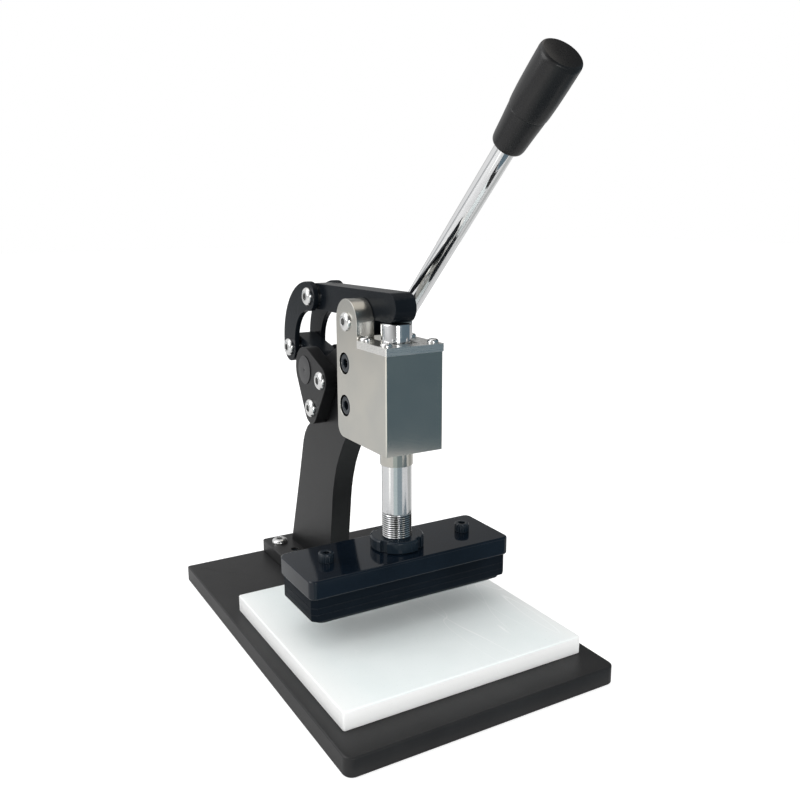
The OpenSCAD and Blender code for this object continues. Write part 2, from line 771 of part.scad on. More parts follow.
base_plate();
column_foot();
foot_screws();
foot_dowels();
column();
column_bolts();
guide_block();
block_screws();
cap_plate();
cap_screws();
lower_bush();
pivot_pin();
pivot_screws();
left_bracket();
right_bracket();
bracket_screws();
main_shaft();
crank();
crank_key();
handle_hub();
hub_set_screw();
handle_rod();
grip();
lever_bar();
bar_bush();
left_link();
right_link();
upper_link_pin();
crank_pin();
link_screws();
link_washers();
ram();
spring_collar();
return_spring();
lock_nut();
press_plate();
clamp_screws();
die_board();
ejector_pad();
cutting_rule();
cutting_board();
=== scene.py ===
# %% [markdown]
# # A manual die cutting machine, dressed for a product picture
# A hand lever turns a crank. The crank lifts two curved links, the links rock a lever bar, and the nose of
# the bar pushes a round ram down, so that a ring of cutting rule is pressed through leather or card on a
# white board. The solids arrive with their true sizes and places. Each cell below takes one kind of piece,
# says how the real one is made, and gives it the eased edges, threads, recesses and finishes that a plain
# solid lacks.

# %% Load the solids
import json
import bmesh
import bpy
import numpy as np
from mathutils import Matrix, Vector

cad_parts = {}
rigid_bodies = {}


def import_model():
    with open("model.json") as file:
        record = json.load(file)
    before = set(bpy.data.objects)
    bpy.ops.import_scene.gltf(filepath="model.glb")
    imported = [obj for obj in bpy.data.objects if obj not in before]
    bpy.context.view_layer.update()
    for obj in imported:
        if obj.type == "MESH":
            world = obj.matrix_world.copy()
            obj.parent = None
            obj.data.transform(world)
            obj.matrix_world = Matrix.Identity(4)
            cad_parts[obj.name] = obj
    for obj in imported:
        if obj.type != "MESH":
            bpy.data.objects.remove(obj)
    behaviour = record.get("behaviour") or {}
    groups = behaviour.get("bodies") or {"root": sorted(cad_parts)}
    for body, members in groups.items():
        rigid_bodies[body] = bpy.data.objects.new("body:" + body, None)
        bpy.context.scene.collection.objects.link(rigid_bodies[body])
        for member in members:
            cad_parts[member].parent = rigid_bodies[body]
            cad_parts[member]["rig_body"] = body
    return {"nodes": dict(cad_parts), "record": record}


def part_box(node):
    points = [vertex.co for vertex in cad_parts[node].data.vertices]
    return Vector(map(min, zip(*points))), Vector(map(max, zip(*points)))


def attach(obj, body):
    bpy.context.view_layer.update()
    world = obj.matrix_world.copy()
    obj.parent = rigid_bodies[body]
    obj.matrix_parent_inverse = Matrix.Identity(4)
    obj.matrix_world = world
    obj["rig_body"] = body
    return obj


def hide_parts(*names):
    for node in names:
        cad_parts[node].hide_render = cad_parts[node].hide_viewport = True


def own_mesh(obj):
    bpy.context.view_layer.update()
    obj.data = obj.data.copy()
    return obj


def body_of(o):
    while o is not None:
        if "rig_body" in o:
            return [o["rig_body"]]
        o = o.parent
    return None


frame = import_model()
NODES = frame["nodes"]
SLOT = {part["node"]: part["material_slot"] for part in frame["record"]["subparts"]}
JOINT = {joint["name"]: np.array(joint["pos_m"])
         for joint in frame["record"]["behaviour"]["joints"] if "pos_m" in joint}
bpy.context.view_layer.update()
MM = 0.001
TURN = 2 * np.pi

# %% [markdown]
# ## The camera
# The picture was taken from the front left, a little above the handle's pivot. Yaw, pitch and the distance
# come from the vanishing lines of the base plate and the board, and the lens from how fast those lines
# close up.

# %% Camera
PICTURE_PX = 800
LENS_PX = 849.13
SENSOR = 36.0
CAMERA_PLACE = (-0.26633, -0.49988, 0.29441)
yaw, pitch, roll = np.radians([29.93, 12.64, -0.21])
level = np.array([np.sin(yaw), np.cos(yaw), 0.0])
side = np.array([np.cos(yaw), -np.sin(yaw), 0.0])
ahead = level * np.cos(pitch) - np.array([0, 0, np.sin(pitch)])
above = level * np.sin(pitch) + np.array([0, 0, np.cos(pitch)])
right = side * np.cos(roll) + above * np.sin(roll)
up = above * np.cos(roll) - side * np.sin(roll)
camera = bpy.data.objects.new("camera", bpy.data.cameras.new("camera"))
camera.matrix_world = Matrix.LocRotScale(
    Vector(CAMERA_PLACE),
    Matrix(np.stack([right, up, -ahead], axis=1).tolist()).to_quaternion(),
    None)
camera.data.sensor_width = SENSOR
camera.data.lens = LENS_PX / PICTURE_PX * SENSOR
bpy.context.collection.objects.link(camera)
bpy.context.scene.camera = camera
print("camera lens in mm:", round(camera.data.lens, 2))

# %% [markdown]
# ## Tools for finishes
# A real finish is never one number. Each material here mixes two tones with a slow noise, breaks its gloss
# with a fine one, raises a little relief, and has a painted highlight along its edges: it is painted
# brighter there, standing in for the light that thin edges catch. A picture wrapped around the piece could
# do that too, but noise in the piece's own coordinates needs no unwrapping and runs on over every edge.


# %% Node tools
def put(tree, kind, inputs=None, **settings):
    """Adds a shader node, sets its options, and links or sets its inputs."""
    node = tree.nodes.new(kind)
    for key, value in settings.items():
        setattr(node, key, value)
    for key, value in (inputs or {}).items():
        if isinstance(value, bpy.types.NodeSocket):
            tree.links.new(value, node.inputs[key])
        else:
            node.inputs[key].default_value = value
    return node


def own_place(tree):
    """The point's place in the piece's own coordinates, in metres."""
    return put(tree, "ShaderNodeTexCoord").outputs["Object"]


def noise(tree, cells, stretch=(1, 1, 1), detail=4.0):
    """Noise in the piece's own coordinates, with `cells` to the metre along an axis whose stretch is 1."""
    spread = put(tree, "ShaderNodeMapping", {"Vector": own_place(tree), "Scale": stretch}).outputs["Vector"]
    inputs = {"Vector": spread, "Scale": cells, "Detail": detail, "Roughness": 0.55}
    return put(tree, "ShaderNodeTexNoise", inputs).outputs["Fac"]


def ranged(tree, value, low, high, start=0.3, end=0.7):
    """Carries a value from start..end to low..high."""
    inputs = {"Value": value, "From Min": start, "From Max": end, "To Min": low, "To Max": high}
    return put(tree, "ShaderNodeMapRange", inputs).outputs["Result"]


def blended(tree, share, first, second):
    """A colour between two colours."""
    return put(tree, "ShaderNodeMix", {0: share, 6: first, 7: second}, data_type="RGBA").outputs[2]


def reckoned(tree, operation, first, second=0.0):
    """One value from two by the named operation."""
    return put(tree, "ShaderNodeMath", {0: first, 1: second}, operation=operation).outputs["Value"]


def along(tree, first, second):
    """The dot product of two directions."""
    return put(tree, "ShaderNodeVectorMath", {0: first, 1: second}, operation="DOT_PRODUCT").outputs["Value"]


# %% Finish tools
CLOUD_CELLS = 28.0
# Patch size, width and strength of the painted edge highlight.
PATCH_CELLS, PATCH_LEAST = 160.0, 0.15
HIGHLIGHT_WIDTH = 0.7 * MM
HIGHLIGHT_FULL, HIGHLIGHT_NONE = 0.86, 0.99


# The mask of the painted edge highlight: edges are painted lighter, standing in for the light they catch.
def edge_highlight_mask(tree, radius):
    """1 along edges and 0 on open faces: how far the normal, rounded over `radius`, leaves the true one."""
    eased = put(tree, "ShaderNodeBevel", {"Radius": radius}, samples=4).outputs["Normal"]
    true = put(tree, "ShaderNodeNewGeometry").outputs["Normal"]
    return ranged(tree, along(tree, eased, true), 1.0, 0.0, HIGHLIGHT_FULL, HIGHLIGHT_NONE)


def finish(slot, tones, rough, metal=0.0, grain=900.0, stretch=(1, 1, 1), relief=0.00001, edge_highlight=None,
           **sockets):
    """A material of two tones and a span of roughness.

    The relief is `relief` metres high, with `grain` cells to the metre. Edges get a painted highlight
    towards the colour and share of `edge_highlight`. Further names are sockets of the shader.
    """
    material = bpy.data.materials.new(slot)
    material.use_nodes = True
    tree = material.node_tree
    shader = tree.nodes["Principled BSDF"]
    slow = noise(tree, CLOUD_CELLS, detail=3.0)
    fine = noise(tree, grain, stretch, detail=5.0)
    colour = blended(tree, ranged(tree, slow, 0.0, 1.0), (*tones[0], 1), (*tones[1], 1))
    # Painted highlight: the edges are painted towards its colour, more in some patches than in others.
    if edge_highlight:
        highlight_patches = ranged(tree, noise(tree, PATCH_CELLS), PATCH_LEAST, edge_highlight[1])
        share = reckoned(tree, "MULTIPLY", edge_highlight_mask(tree, HIGHLIGHT_WIDTH), highlight_patches)
        colour = blended(tree, share, colour, (*edge_highlight[0], 1))
    tree.links.new(colour, shader.inputs["Base Color"])
    tree.links.new(ranged(tree, fine, *rough), shader.inputs["Roughness"])
    bump = put(tree, "ShaderNodeBump", {"Height": fine, "Strength": 1.0, "Distance": relief})
    tree.links.new(bump.outputs["Normal"], shader.inputs["Normal"])
    shader.inputs["Metallic"].default_value = metal
    for key, value in sockets.items():
        shader.inputs[key.replace("_", " ")].default_value = value
    return material


def paint_cut_shade(material, tone):
    """Painted shade in a cut: the colour goes to `tone` where the attribute "cut" of the piece is 1."""
    tree = material.node_tree
    base = tree.nodes["Principled BSDF"].inputs["Base Color"]
    cut = put(tree, "ShaderNodeAttribute", attribute_name="cut").outputs["Fac"]
    tree.links.new(blended(tree, cut, base.links[0].from_socket, (*tone, 1)), base)


def dull_above(material, height, rough, reach):
    """A part dulled with emery: the roughness goes to `rough` over a `reach` that starts at `height`."""
    tree = material.node_tree
    socket = tree.nodes["Principled BSDF"].inputs["Roughness"]
    z = put(tree, "ShaderNodeSeparateXYZ", {"Vector": own_place(tree)}).outputs["Z"]
    share = ranged(tree, z, 0.0, 1.0, height, height + reach)
    rest = ranged(tree, share, 1.0, 0.0, 0.0, 1.0)
    kept = reckoned(tree, "MULTIPLY", rest, socket.links[0].from_socket)
    dull = reckoned(tree, "MULTIPLY", share, rough)
    tree.links.new(reckoned(tree, "ADD", kept, dull), socket)


# %% [markdown]
# ## Finishes
# - **Black metal**: steel plate, blasted and coated satin black. It has a soft grey sheen at a low angle.
# - **Base coat**: the base and foot carry a thicker, more matt coat of the same black.
# - **Linkage**: the bar, links and crank are blackened in an oil bath instead, which leaves them deeper,
#   smoother and a little blue.
# - **Black gloss**: the press plate is polished before it is blackened and mirrors the nut above it.
# - **Machined**: the block is milled, so a faint run of cutter lines crosses it. Its ears are rounded by
#   hand with emery and mirror less sharply.
# - **Cap ground**: the cap plate is surface ground, which leaves it paler and duller than the block.
# - **Steel, zinc, chrome**: ground, plated and polished metals, told apart by how sharply they mirror.
# - **Dark steel**: oil-blackened screws and nut. **Bronze**: the bushes.
# - **Plastics and rubber**: the moulded grip, the dark die board, the ejector pad and the milky board.

# %% Black finishes
FINISH = {}
# The colour of the painted highlight along the edges of the black parts.
EDGE_HIGHLIGHT_TONE = (0.07, 0.072, 0.076)
FINISH["black_metal"] = finish(
    "black_metal", [(0.0045, 0.0047, 0.0052), (0.0075, 0.0078, 0.0085)], (0.3, 0.42), grain=2600.0,
    relief=0.000005, edge_highlight=(EDGE_HIGHLIGHT_TONE, 0.5), Specular_IOR_Level=0.26)
FINISH["base_coat"] = finish(
    "base_coat", [(0.0125, 0.0125, 0.013), (0.0185, 0.0185, 0.019)], (0.36, 0.48), grain=2600.0,
    relief=0.000006, edge_highlight=(EDGE_HIGHLIGHT_TONE, 0.5), Specular_IOR_Level=0.3)
FINISH["linkage"] = finish(
    "linkage", [(0.0042, 0.0060, 0.0085), (0.0070, 0.0095, 0.0125)], (0.2, 0.32), grain=2600.0,
    relief=0.000002, edge_highlight=((0.05, 0.052, 0.056), 0.5), Specular_IOR_Level=0.1)
FINISH["shaft"] = finish(
    "shaft", [(0.022, 0.022, 0.024), (0.032, 0.032, 0.034)], (0.3, 0.4), grain=1400.0,
    relief=0.000002, edge_highlight=(EDGE_HIGHLIGHT_TONE, 0.5))
FINISH["black_gloss"] = finish(
    "black_gloss", [(0.0022, 0.0046, 0.0084), (0.0038, 0.0074, 0.0130)], (0.06, 0.11), grain=700.0,
    relief=0.0000005, edge_highlight=((0.035, 0.038, 0.044), 0.5), Specular_IOR_Level=0.34)
FINISH["dark_steel"] = finish(
    "dark_steel", [(0.0042, 0.0085, 0.0138), (0.0078, 0.0135, 0.0200)], (0.14, 0.22), grain=1600.0,
    relief=0.000001, edge_highlight=((0.09, 0.092, 0.098), 0.6), Specular_IOR_Level=0.35)
# Painted shade in the sockets of the dark screws.
paint_cut_shade(FINISH["dark_steel"], (0.003, 0.003, 0.003))
print("black finishes:", ", ".join(FINISH))

# %% Bright metals
EAR_ROUGH, EAR_REACH = 0.27, 16 * MM
FINISH["machined"] = finish(
    "machined", [(0.49, 0.49, 0.46), (0.57, 0.55, 0.5)], (0.1, 0.16), metal=1.0, grain=900.0,
    stretch=(1, 0.06, 2.2), relief=0.0000012, edge_highlight=((0.85, 0.84, 0.8), 0.9))
FINISH["cap_ground"] = finish(
    "cap_ground", [(0.72, 0.72, 0.7), (0.8, 0.79, 0.76)], (0.24, 0.34), metal=1.0, grain=900.0,
    stretch=(0.06, 1, 2.2), relief=0.000001, edge_highlight=((0.9, 0.89, 0.86), 0.9))
FINISH["steel"] = finish(
    "steel", [(0.66, 0.67, 0.68), (0.73, 0.735, 0.74)], (0.1, 0.2), metal=1.0, grain=500.0,
    stretch=(0.35, 0.35, 6.0), relief=0.0000006, edge_highlight=((0.9, 0.9, 0.9), 0.6))
FINISH["zinc"] = finish(
    "zinc", [(0.7, 0.7, 0.7), (0.8, 0.8, 0.79)], (0.14, 0.26), metal=1.0, grain=1800.0,
    relief=0.000002, edge_highlight=((0.93, 0.93, 0.92), 0.7))
FINISH["chrome"] = finish(
    "chrome", [(0.78, 0.785, 0.79), (0.82, 0.825, 0.83)], (0.03, 0.07), metal=1.0, grain=260.0,
    stretch=(1, 0.4, 0.4), relief=0.0000004)
FINISH["bronze"] = finish(
    "bronze", [(0.42, 0.25, 0.09), (0.53, 0.33, 0.13)], (0.22, 0.36), metal=1.0, grain=700.0,
    stretch=(1, 1, 5.0), relief=0.000002, edge_highlight=((0.75, 0.52, 0.25), 0.7))
dull_above(FINISH["machined"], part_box("cap_plate")[1].z, EAR_ROUGH, EAR_REACH)
# Painted shade in the cuts of steel and zinc pieces: the ram's thread roots and the screw sockets.
paint_cut_shade(FINISH["steel"], (0.07, 0.072, 0.075))
paint_cut_shade(FINISH["zinc"], (0.16, 0.16, 0.16))
print("metals so far:", len(FINISH))

# %% Plastic finishes
FINISH["grip_plastic"] = finish(
    "grip_plastic", [(0.006, 0.006, 0.0065), (0.009, 0.009, 0.0095)], (0.26, 0.34), grain=1100.0,
    relief=0.0000012, edge_highlight=((0.03, 0.03, 0.032), 0.4), Specular_IOR_Level=0.38)
FINISH["die_plastic"] = finish(
    "die_plastic", [(0.0022, 0.0045, 0.0075), (0.0036, 0.0068, 0.0110)], (0.34, 0.5), grain=1900.0,
    relief=0.000006, edge_highlight=((0.03, 0.033, 0.038), 0.5), Specular_IOR_Level=0.05)
FINISH["pad_rubber"] = finish(
    "pad_rubber", [(0.006, 0.0100, 0.0130), (0.011, 0.0165, 0.0210)], (0.6, 0.85), grain=2400.0,
    relief=0.00004, edge_highlight=((0.05, 0.05, 0.05), 0.4), Specular_IOR_Level=0.25)
print("finishes:", ", ".join(FINISH))

# %% [markdown]
# ## The milky board
# The cutting board is a dense translucent plastic. Blades have left hair-fine strokes in it. The light that
# gathers at its rim and falls on its sides is painted light: the top is painted paler towards its left and
# right edges, and the sides palest. Scattering under the surface gives the soft body, and the strokes are
# drawn as thin level lines of a slow noise, because such lines bend and break off as real cuts do.

# %% Milky board
STROKE_WIDTH = 0.004
STROKE_STRETCH = (1, 0.22, 1)
STROKE_DENT = 0.04 * MM
BREAK_CELLS, BREAK_SPAN = 14.0, (0.53, 0.6)
MILKY = 0.45
RIM_WIDTH = 22 * MM
SIDE_START, SIDE_END = 0.4 * MM, 1.2 * MM
# Painted light on the rim and sides, and the colour of the strokes.
RIM_PAINTED_LIGHT, SIDE_PAINTED_LIGHT, STROKE_TONE = (0.85, 0.875, 0.865, 1), (0.91, 0.92, 0.91, 1), (0.96, 0.985, 0.98, 1)


def strokes(tree, turn, cells, level):
    """1 along hair-fine lines: where a noise that is stretched along the direction `turn` passes `level`."""
    spun = put(tree, "ShaderNodeMapping",
               {"Vector": own_place(tree), "Rotation": (0, 0, turn), "Scale": STROKE_STRETCH})
    wave = put(tree, "ShaderNodeTexNoise",
               {"Vector": spun.outputs["Vector"], "Scale": cells, "Detail": 1.0})
    off = reckoned(tree, "ABSOLUTE", reckoned(tree, "SUBTRACT", wave.outputs["Fac"], level))
    line = ranged(tree, off, 1.0, 0.0, 0.0, STROKE_WIDTH)
    kept = ranged(tree, noise(tree, BREAK_CELLS, detail=1.0), 0.0, 1.0, *BREAK_SPAN)
    return reckoned(tree, "MULTIPLY", line, kept)


def board_finish():
    """The plastic with its strokes, and painted light: the top is painted paler towards its left and right
    edges, and the sides palest.
    """
    material = finish(
        "board_plastic", [(0.79, 0.845, 0.84), (0.83, 0.88, 0.875)], (0.26, 0.4), grain=900.0,
        relief=0.000004, Subsurface_Scale=0.012, Subsurface_Radius=(1.0, 1.0, 1.0))
    tree = material.node_tree
    shader = tree.nodes["Principled BSDF"]
    base = shader.inputs["Base Color"]
    first = strokes(tree, turn=0.5, cells=26.0, level=0.47)
    second = strokes(tree, turn=-0.75, cells=34.0, level=0.53)
    scratch = reckoned(tree, "MAXIMUM", first, second)
    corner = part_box("cutting_board")[1]
    spot = put(tree, "ShaderNodeSeparateXYZ", {"Vector": own_place(tree)}).outputs
    across = reckoned(tree, "ABSOLUTE", spot["X"])
    # Painted light: paler towards the left and right edges of the top, and palest on the sides.
    rim = ranged(tree, across, 0.0, 1.0, corner.x - RIM_WIDTH, corner.x)
    flank = ranged(tree, spot["Z"], 1.0, 0.0, corner.z - SIDE_END, corner.z - SIDE_START)
    body = blended(tree, rim, base.links[0].from_socket, RIM_PAINTED_LIGHT)
    body = blended(tree, flank, body, SIDE_PAINTED_LIGHT)
    tree.links.new(blended(tree, scratch, body, STROKE_TONE), base)
    tree.links.new(ranged(tree, scratch, MILKY, 0.0, 0.0, 1.0), shader.inputs["Subsurface Weight"])
    dent = put(tree, "ShaderNodeBump", {"Height": scratch, "Strength": 0.5, "Distance": STROKE_DENT},
               invert=True)
    tree.links.new(shader.inputs["Normal"].links[0].from_socket, dent.inputs["Normal"])
    tree.links.new(dent.outputs["Normal"], shader.inputs["Normal"])
    return material


FINISH["board_plastic"] = board_finish()
print("board finish nodes:", len(FINISH["board_plastic"].node_tree.nodes))

# %% [markdown]
# ## Plates and blocks
# The base, foot, column, brackets, crank, links and lever bar are cut from plate and then deburred; the
# guide block and its cap are milled. Their solids are right already, so they keep their shape and only lose
# the razor edge that a drawn solid has. The thin rounded edge is what catches the light in the picture. A
# bevel on a merged copy of the solid gives it, and the plate need not be drawn again.

# %% Plates and blocks
MERGE = 2e-6
COPLANAR = 0.5
CREASE = 32.0
EASED = {
    "base_plate": 0.35, "column_foot": 0.3, "column": 0.7, "left_bracket": 0.7, "right_bracket": 0.7,
    "crank": 0.7, "left_link": 0.5, "right_link": 0.5, "lever_bar": 0.8, "guide_block": 0.45,
    "cap_plate": 0.4, "handle_hub": 0.8, "lock_nut": 0.35, "press_plate": 0.5, "cutting_board": 0.3}
LOOK = {"lever_bar": "linkage", "left_link": "linkage", "right_link": "linkage", "crank": "linkage",
        "main_shaft": "shaft", "cap_plate": "cap_ground", "base_plate": "base_coat",
        "column_foot": "base_coat"}


def tidy(name, mesh, sharp):
    """Links a mesh as an object: points merged, faces outward, only corners over `sharp` degrees sharp."""
    work = bmesh.new()
    work.from_mesh(mesh)
    bmesh.ops.remove_doubles(work, verts=work.verts, dist=MERGE)
    bmesh.ops.recalc_face_normals(work, faces=work.faces)
    work.to_mesh(mesh)
    work.free()
    mesh.polygons.foreach_set("use_smooth", np.ones(len(mesh.polygons), bool))
    mesh.set_sharp_from_angle(angle=np.radians(sharp))
    obj = bpy.data.objects.new(name, mesh)
    bpy.context.collection.objects.link(obj)
    return obj


def softened(node, width):
    """The node's own solid with its sharp edges eased by `width` millimetres, as deburring leaves them."""
    mesh = NODES[node].data.copy()
    mesh.materials.clear()
    work = bmesh.new()
    work.from_mesh(mesh)
    bmesh.ops.remove_doubles(work, verts=work.verts, dist=MERGE)
    bmesh.ops.dissolve_limit(work, angle_limit=np.radians(COPLANAR), verts=work.verts, edges=work.edges)
    work.to_mesh(mesh)
    work.free()
    if "custom_normal" in mesh.attributes:
        mesh.attributes.remove(mesh.attributes["custom_normal"])
    obj = tidy(node + "_eased", mesh, CREASE)
    bevel = obj.modifiers.new("eased_edges", "BEVEL")
    bevel.width = width * MM
    bevel.segments = 2
    bevel.limit_method = "ANGLE"
    bevel.angle_limit = np.radians(CREASE)
    bevel.harden_normals = True
    return obj


def stands_for(obj, *nodes):
    """obj replaces its nodes, rides on their body and takes the finish of LOOK, or else of their slot."""
    slot = SLOT[nodes[0]]
    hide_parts(*nodes)
    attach(obj, body_of(NODES[nodes[0]])[0])
    obj.data.materials.clear()
    obj.data.materials.append(FINISH[LOOK.get(nodes[0], slot)])
    print(obj.name, "for", ", ".join(nodes), "with", slot, "and", len(obj.data.polygons), "faces")
    return obj


for node, width in EASED.items():
    stands_for(softened(node, width), node)

# %% [markdown]
# ## A skin over rings
# Every new piece is a sheet over two parameters: which ring, and which point of the ring. A turned part
# carries a profile around an axis, a plate carries an outline through its thickness, and a bent wire carries
# a circle along a path, so one function can skin them all.


# %% Skin and aim
def skin(name, stacks, loop=False, sharp=35.0):
    """An object over one or more stacks of rings, each an array (ring, point, xyz).

    Point k of a ring is joined to point k of the next ring and to point k + 1 of its own ring. A stack that
    does not loop back on itself is closed by one flat face at each end. A fourth number beside xyz says how
    deep the point lies in a cut, and is kept as the attribute "cut".
    """
    points, faces, start = [], [], 0
    for rings in stacks:
        rows, count, width = rings.shape
        index = start + np.arange(rows * count).reshape(rows, count)
        lower = index if loop else index[:-1]
        upper = np.roll(index, -1, axis=0) if loop else index[1:]
        quads = np.stack([lower, np.roll(lower, -1, 1), np.roll(upper, -1, 1), upper], axis=-1)
        faces += quads.reshape(-1, 4).tolist()
        faces += [] if loop else [index[0, ::-1].tolist(), index[-1].tolist()]
        points.append(rings.reshape(-1, width))
        start += rows * count
    points = np.concatenate(points)
    mesh = bpy.data.meshes.new(name)
    mesh.from_pydata(points[:, :3].tolist(), [], faces)
    # The fourth number is the share of painted shade in a cut.
    if points.shape[1] == 4:
        mesh.attributes.new("cut", "FLOAT", "POINT").data.foreach_set("value", points[:, 3])
    return tidy(name, mesh, sharp)


def aimed(rings, place, way):
    """Turns a stack's +Z to the direction `way` and its origin to `place`."""
    turn = np.array(Vector((0, 0, 1)).rotation_difference(Vector(way)).to_matrix())
    moved = rings[..., :3] @ turn.T + np.asarray(place, float)
    return np.concatenate([moved, rings[..., 3:]], axis=-1)


# %% [markdown]
# ## Screws
# The bright screws are button heads: a low dome that is cold-headed over a hexagon socket. The dark ones are
# cap screws with a straight knurled head. Both are one sheet: the ring number walks from the head's rim over
# the dome, down the socket's wall and across its floor, and within the socket the circle is bent into a
# hexagon. Cutting the socket out with a boolean would leave ragged faces around it.

# %% Screw heads
KNURLS = 24
DOME_ROWS = 9


def hexagon(around):
    """The radius of a hexagon of corner radius 1 at each angle: the cosine of 30 degrees over the cosine of
    the angle from the middle of the nearest side."""
    return np.cos(np.pi / 6) / np.cos(np.mod(around, np.pi / 3) - np.pi / 6)


def headed(profile, knurl=0.0, count=96):
    """Rings of a screw head: each row (radius, height, hex share, knurl share) is carried around +Z.

    Rows that come after the highest one lie in the socket, and their points are marked as cut.
    """
    r, z, hexed, rough = np.asarray(profile, float).T
    around = np.linspace(0, TURN, count, endpoint=False)
    ridges = knurl * rough[:, None] * np.cos(KNURLS * around)
    reach = r[:, None] * (1 + hexed[:, None] * (hexagon(around) - 1) + ridges)
    depth = 1 - (z - z.min()) / (z.max() - z.min())
    # The depth share of each socket row, which becomes painted shade in the socket.
    sunk = np.where(np.arange(len(z)) > np.argmax(z), depth, 0) ** 0.5
    flat = np.ones(count)
    x, y = reach * np.cos(around), reach * np.sin(around)
    return np.stack([x, y, np.outer(z, flat), np.outer(sunk, flat)], axis=-1)


def button_head(r, h, socket, depth):
    """A domed head of radius r and height h with a hexagon socket: over the dome the radius falls as a power
    of the cosine, while the height rises as a power of the sine."""
    t = np.linspace(0, 1, DOME_ROWS)
    brim = 0.22 * h
    lip = socket * 1.12
    dome_r = lip + (r - lip) * np.cos(t * np.pi / 2) ** 0.9
    dome_z = brim + (h - brim) * np.sin(t * np.pi / 2) ** 1.1
    smooth = np.zeros(DOME_ROWS)
    dome = np.column_stack([dome_r, dome_z, smooth, smooth])
    low = [[r * 0.97, 0, 0, 0], [r, 0.04 * h, 0, 0]]
    bowl = [[socket * 1.03, h * 0.985, 0.85, 0], [socket, h * 0.95, 1, 0], [socket, h - depth, 1, 0],
            [socket * 0.6, h - depth * 1.06, 0.7, 0], [0, h - depth * 1.25, 0, 0]]
    return headed(np.concatenate([low, dome, bowl]))


def cap_head(r, h, socket, depth):
    """A straight knurled head of radius r and height h with a chamfered top and a hexagon socket."""
    wall = [[r * 0.96, 0, 0, 0], [r, 0.04 * h, 0, 1], [r, 0.8 * h, 0, 1], [r * 0.985, 0.83 * h, 0, 0],
            [r * 0.98, 0.93 * h, 0, 0], [r * 0.93, 0.985 * h, 0, 0], [r * 0.86, h, 0, 0]]
    bowl = [[socket * 1.14, h, 0, 0], [socket * 1.05, h * 0.985, 0.8, 0], [socket, h * 0.96, 1, 0],
            [socket, h - depth, 1, 0], [0, h - depth * 1.3, 0, 0]]
    return headed(wall + bowl, knurl=0.018, count=144)


def set_heads(name, node, head, spots):
    """One piece that stands for a node's screws: an equal head at each (place, direction) of the spots."""
    return stands_for(skin(name, [aimed(head, place, way) for place, way in spots]), node)


# %% Bright screws
UP = (0, 0, 1)
SIDES = (-1, 1)
FOOT_R, CAP_R, WIDE_R = 6.5 * MM, 3.7 * MM, 6.75 * MM


def corners(node, r):
    """The middles of heads of radius r that sit in the four corners of a node's box, seen from above."""
    low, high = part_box(node)
    return [(x, y) for x in (low.x + r, high.x - r) for y in (low.y + r, high.y - r)]


foot_top, cap_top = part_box("column_foot")[1].z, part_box("cap_plate")[1].z
foot_head = button_head(r=FOOT_R, h=3.5 * MM, socket=2.8 * MM, depth=1.7 * MM)
set_heads("foot_screw_heads", "foot_screws", foot_head,
          [((x, y, foot_top), UP) for x, y in corners("foot_screws", FOOT_R)])
cap_screw = button_head(r=CAP_R, h=2.5 * MM, socket=1.6 * MM, depth=1.5 * MM)
set_heads("cap_screw_heads", "cap_screws", cap_screw,
          [((x, y, cap_top), UP) for x, y in corners("cap_screws", CAP_R)])

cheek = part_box("guide_block")[1].x
slim_head = button_head(r=6.4 * MM, h=2.6 * MM, socket=2.8 * MM, depth=1.4 * MM)
set_heads("pivot_screw_heads", "pivot_screws", slim_head,
          [((side * cheek, *JOINT["bar_rock"][1:]), (side, 0, 0)) for side in SIDES])
link_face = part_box("right_link")[1].x
crank_pin = sum(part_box("crank_pin"), Vector()) / 2
link_ends = [JOINT["link_swing"][1:], (crank_pin.y, crank_pin.z)]
wide_head = button_head(r=WIDE_R, h=3.1 * MM, socket=2.9 * MM, depth=1.6 * MM)
set_heads("link_screw_heads", "link_screws", wide_head,
          [((side * link_face, y, z), (side, 0, 0)) for side in SIDES for y, z in link_ends])
low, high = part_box("bracket_screws")
bracket_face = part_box("right_bracket")[1].x
bracket_ends = [(low.y + WIDE_R, high.z - WIDE_R), (high.y - WIDE_R, low.z + WIDE_R)]
set_heads("bracket_screw_heads", "bracket_screws", wide_head,
          [((side * bracket_face, y, z), (side, 0, 0)) for side in SIDES for y, z in bracket_ends])

# %% Dark screws
DOWN, LEFT = (0, 0, -1), (-1, 0, 0)
CLAMP_R, BOLT_R, BOLT_H = 5.0 * MM, 6.5 * MM, 8.0 * MM
low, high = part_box("clamp_screws")
middle_y, plate_top = (low.y + high.y) / 2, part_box("press_plate")[1].z
clamp_head = cap_head(r=CLAMP_R, h=6.0 * MM, socket=2.6 * MM, depth=3.2 * MM)
set_heads("clamp_screw_heads", "clamp_screws", clamp_head,
          [((x, middle_y, plate_top), UP) for x in (low.x + CLAMP_R, high.x - CLAMP_R)])

bolt_head = cap_head(r=BOLT_R, h=BOLT_H, socket=3.5 * MM, depth=4.2 * MM)
low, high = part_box("block_screws")
middle_y = (low.y + high.y) / 2
set_heads("block_screw_heads", "block_screws", bolt_head,
          [((low.x + BOLT_H, middle_y, z), LEFT) for z in (low.z + BOLT_R, high.z - BOLT_R)])
low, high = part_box("column_bolts")
set_heads("column_bolt_heads", "column_bolts", bolt_head,
          [((0, y, low.z + BOLT_H), DOWN) for y in np.linspace(low.y + BOLT_R, high.y - BOLT_R, 3)])

# %% [markdown]
# ## Ram
# The ram is a ground shaft whose lower end is cut with a fine thread, so that the press plate can be set up
# or down and locked by the nut. The thread climbs one pitch a turn: the radius drops by a V that depends on
# height minus angle, and the V fades out over one turn at the top. A Screw modifier could wind a thread too,
# but its ends would stand open, and it could not fade.

